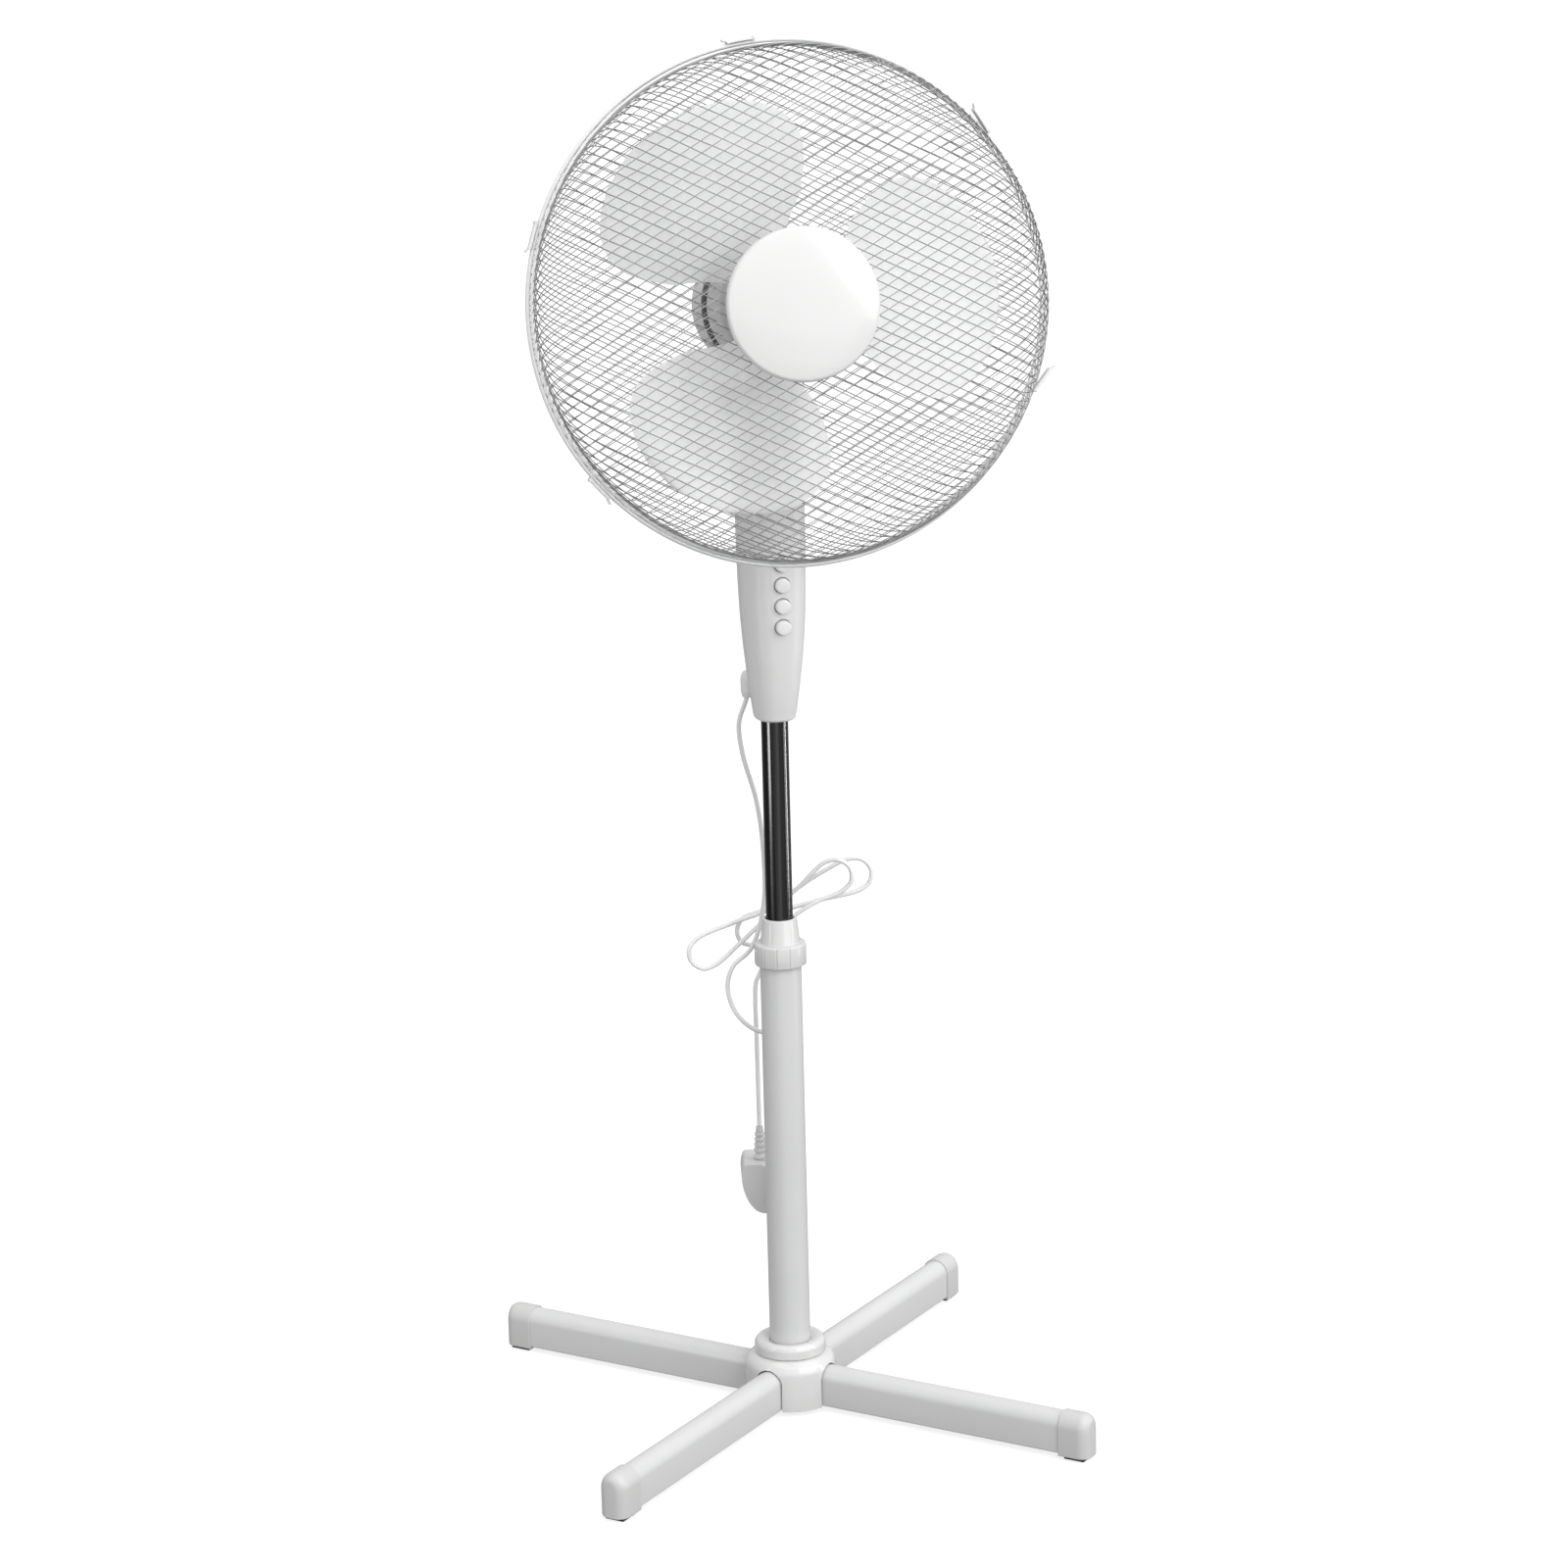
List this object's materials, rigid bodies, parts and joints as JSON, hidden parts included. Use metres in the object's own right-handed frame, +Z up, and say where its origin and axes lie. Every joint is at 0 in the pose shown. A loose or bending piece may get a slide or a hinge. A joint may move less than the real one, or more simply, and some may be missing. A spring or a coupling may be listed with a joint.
{
  "type": "pedestal fan",
  "caption": "Oscillating pedestal fan on a cross base: telescopic post, control column with push buttons, tilting head and wire guards round clear blades.",
  "frame": {"origin": "on the floor, on the axis of the post", "axes": "+Z up along the post, -Y the way the head faces, +X to the right of someone facing the fan"},
  "size_m": [0.49, 0.5021, 1.2469],
  "materials": {
    "white_paint": "satin powder coat",
    "white_plastic": "semi-gloss moulded",
    "frosted_plastic": "frosted, slightly translucent",
    "black_chrome": "dark polished plating",
    "dark_rubber": "matte",
    "bright_steel": "zinc plated",
    "dark_iron": "laminated and cast, dull",
    "black_plastic": "matte moulded",
    "brass": "polished",
    "cord_plastic": "soft PVC"
  },
  "bodies": {
    "base": {"cross_leg_lower": "white_paint", "cross_leg_upper": "white_paint", "foot_cap_1": "white_plastic", "foot_cap_2": "white_plastic", "foot_cap_3": "white_plastic", "foot_cap_4": "white_plastic", "foot_pad_1": "dark_rubber", "foot_pad_2": "dark_rubber", "foot_pad_3": "dark_rubber", "foot_pad_4": "dark_rubber", "base_hub": "white_plastic", "hub_collar": "white_plastic", "tube_flange": "bright_steel", "base_bolt": "bright_steel", "outer_tube": "white_paint", "tube_bush": "black_plastic", "clamp_collet": "black_plastic"},
    "lock_nut": {"height_lock_nut": "white_plastic"},
    "column": {"inner_tube": "black_chrome", "slide_plug": "black_plastic", "control_housing_front": "white_plastic", "control_housing_rear": "white_plastic", "housing_screw": "bright_steel", "cord_gland": "white_plastic", "switch_block": "black_plastic", "neck_yoke": "white_plastic", "tilt_bolt": "bright_steel", "power_cord": "cord_plastic", "cord_tie": "black_plastic", "plug_strain_relief": "cord_plastic", "plug_body": "cord_plastic", "plug_pin_earth": "brass", "plug_pin_live": "brass", "plug_pin_neutral": "brass"},
    "button_0": {"speed_button_0": "white_plastic"},
    "button_1": {"speed_button_1": "white_plastic"},
    "button_2": {"speed_button_2": "white_plastic"},
    "button_3": {"speed_button_3": "white_plastic"},
    "tilt_knob_body": {"tilt_knob": "white_plastic"},
    "tilt_neck": {"tilt_bracket": "white_plastic"},
    "link": {"oscillation_link": "bright_steel"},
    "head": {"gearbox_case": "dark_iron", "motor_stator": "dark_iron", "motor_front_cover": "white_plastic", "motor_rear_cover": "white_plastic", "front_guard": "white_paint", "rear_guard": "white_paint", "guard_nut": "white_plastic", "guard_badge": "white_plastic"},
    "oscillation_pull": {"oscillation_knob": "white_plastic"},
    "crank": {"crank_disc": "brass"},
    "rotor": {"rotor_shaft": "bright_steel", "fan_blades": "frosted_plastic", "blade_nut": "frosted_plastic"},
    "clip_1": {"guard_clip_1": "white_plastic"},
    "clip_2": {"guard_clip_2": "white_plastic"},
    "clip_3": {"guard_clip_3": "white_plastic"},
    "clip_4": {"guard_clip_4": "white_plastic"},
    "clip_5": {"guard_clip_5": "white_plastic"}
  },
  "joints": [
    {"name": "height_slide", "type": "slide", "parent": "base", "child": "column", "axis": [0, 0, 1], "range_m": [-0.105, 0.075]},
    {"name": "lock_nut_turn", "type": "hinge", "parent": "base", "child": "lock_nut", "pos_m": [0, 0, 0.437], "axis": [0, 0, 1], "range_deg": [0, 180]},
    {"name": "button_0_press", "type": "slide", "parent": "column", "child": "button_0", "axis": [-0.1132, 0.9936, 0], "range_m": [0, 0.0035], "stiffness_N_per_m": 180},
    {"name": "button_1_press", "type": "slide", "parent": "column", "child": "button_1", "axis": [-0.1132, 0.9936, 0], "range_m": [0, 0.0035], "stiffness_N_per_m": 180},
    {"name": "button_2_press", "type": "slide", "parent": "column", "child": "button_2", "axis": [-0.1132, 0.9936, 0], "range_m": [0, 0.0035], "stiffness_N_per_m": 180},
    {"name": "button_3_press", "type": "slide", "parent": "column", "child": "button_3", "axis": [-0.1132, 0.9936, 0], "range_m": [0, 0.0035], "stiffness_N_per_m": 180},
    {"name": "tilt", "type": "hinge", "parent": "column", "child": "tilt_neck", "pos_m": [0, 0, 0.925], "axis": [0.9936, 0.1132, 0], "range_deg": [-13, 17]},
    {"name": "tilt_knob_turn", "type": "hinge", "parent": "column", "child": "tilt_knob_body", "pos_m": [0, 0, 0.925], "axis": [0.9936, 0.1132, 0], "range_deg": [0, 180]},
    {"name": "oscillation", "type": "hinge", "parent": "tilt_neck", "child": "head", "pos_m": [0, 0, 0.925], "axis": [-0.0144, 0.1262, 0.9919], "range_deg": [-33.5, 46.5]},
    {"name": "link_swing", "type": "hinge", "parent": "tilt_neck", "child": "link", "pos_m": [-0.00275, 0.02413, 0.95718], "axis": [-0.0144, 0.1262, 0.9919], "range_deg": [-64, 89]},
    {"name": "oscillation_knob_pull", "type": "slide", "parent": "head", "child": "oscillation_pull", "axis": [-0.0144, 0.1262, 0.9919], "range_m": [0, 0.008]},
    {"name": "rotor_spin", "type": "hinge", "parent": "head", "child": "rotor", "pos_m": [-0.00124, -0.0891, 1.01698], "axis": [-0.0009, -0.992, 0.1262], "continuous": true},
    {"name": "crank_spin", "type": "hinge", "parent": "head", "child": "crank", "pos_m": [-0.00053, 0.03766, 0.95952], "axis": [-0.0144, 0.1262, 0.9919], "continuous": true},
    {"name": "clip_1_swing", "type": "hinge", "parent": "head", "child": "clip_1", "pos_m": [-0.02234, -0.13234, 1.24342], "axis": [0.0009, 0.992, -0.1262], "range_deg": [0, 70]},
    {"name": "clip_2_swing", "type": "hinge", "parent": "head", "child": "clip_2", "pos_m": [-0.20806, -0.15028, 1.10111], "axis": [0.0009, 0.992, -0.1262], "range_deg": [0, 70]},
    {"name": "clip_3_swing", "type": "hinge", "parent": "head", "child": "clip_3", "pos_m": [-0.17319, -0.17725, 0.88947], "axis": [0.0009, 0.992, -0.1262], "range_deg": [0, 70]},
    {"name": "clip_4_swing", "type": "hinge", "parent": "head", "child": "clip_4", "pos_m": [0.20353, -0.17041, 0.94591], "axis": [0.0009, 0.992, -0.1262], "range_deg": [-20, 50]},
    {"name": "clip_5_swing", "type": "hinge", "parent": "head", "child": "clip_5", "pos_m": [0.17224, -0.14308, 1.16044], "axis": [0.0009, 0.992, -0.1262], "range_deg": [-10, 60]}
  ],
  "couplings": [
    {"joint": "crank_spin", "follows": "rotor_spin", "ratio": 0.004167},
    {"joint": "link_swing", "follows": "oscillation", "ratio": 1.9}
  ]
}
